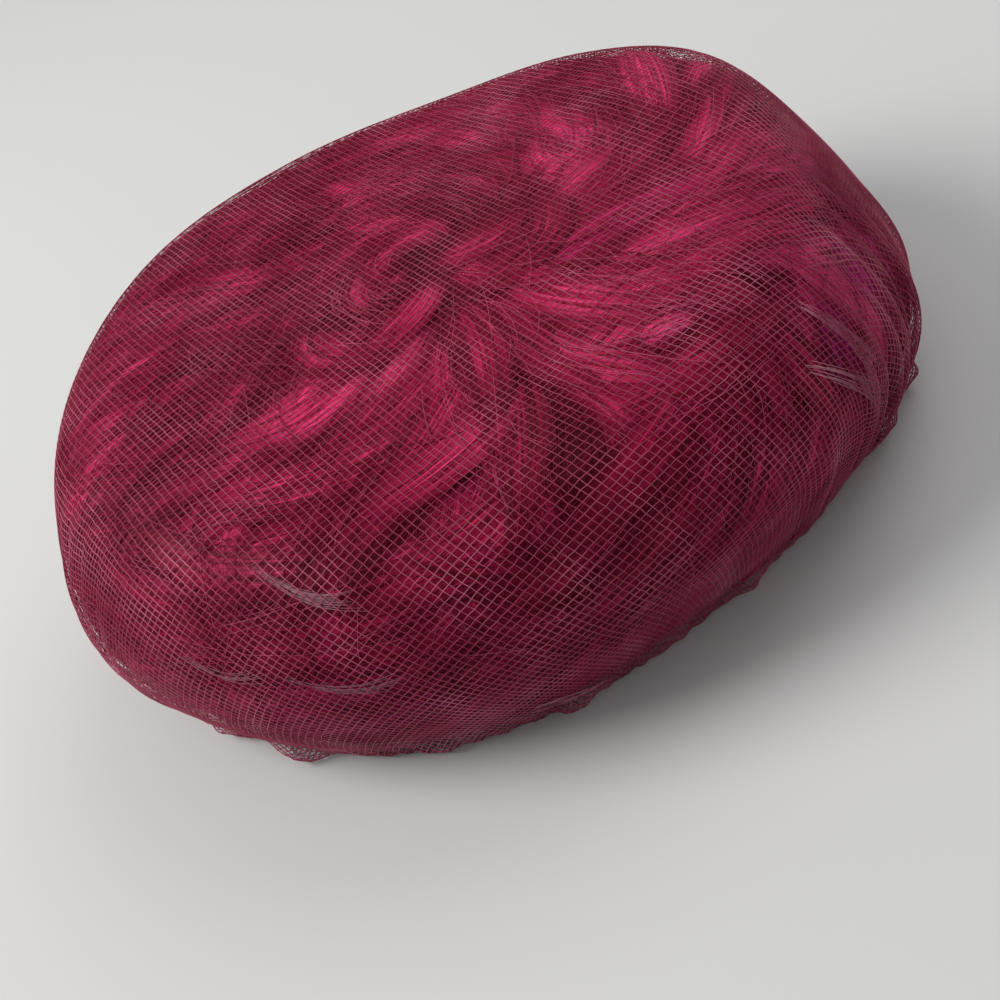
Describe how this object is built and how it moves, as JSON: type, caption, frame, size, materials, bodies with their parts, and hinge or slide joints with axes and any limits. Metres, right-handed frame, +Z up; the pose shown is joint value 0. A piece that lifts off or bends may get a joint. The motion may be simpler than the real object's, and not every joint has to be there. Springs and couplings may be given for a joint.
{
  "type": "feather pillbox hat",
  "caption": "Soft round pillbox hat: a felt crown covered with overlapping dyed feathers under fine net that is gathered and turned in round the rim.",
  "frame": {"origin": "middle of the hat seen from above, on the plane that its rim rests on", "axes": "+Z up through the crown, -Y towards the front of the hat as worn, -X towards the wearer's right"},
  "size_m": [0.2176, 0.236, 0.0803],
  "materials": {
    "felt": "dark wine-red felt, matt and slightly fuzzy",
    "feather": "dyed feathers in raspberry, magenta and maroon, with a soft sheen along the barbs",
    "net": "fine dusty-pink net of thin thread with small square meshes"
  },
  "bodies": {
    "root": {"crown": "felt", "feather_cover": "feather", "net_cover": "net", "net_hem": "net"}
  },
  "joints": []
}
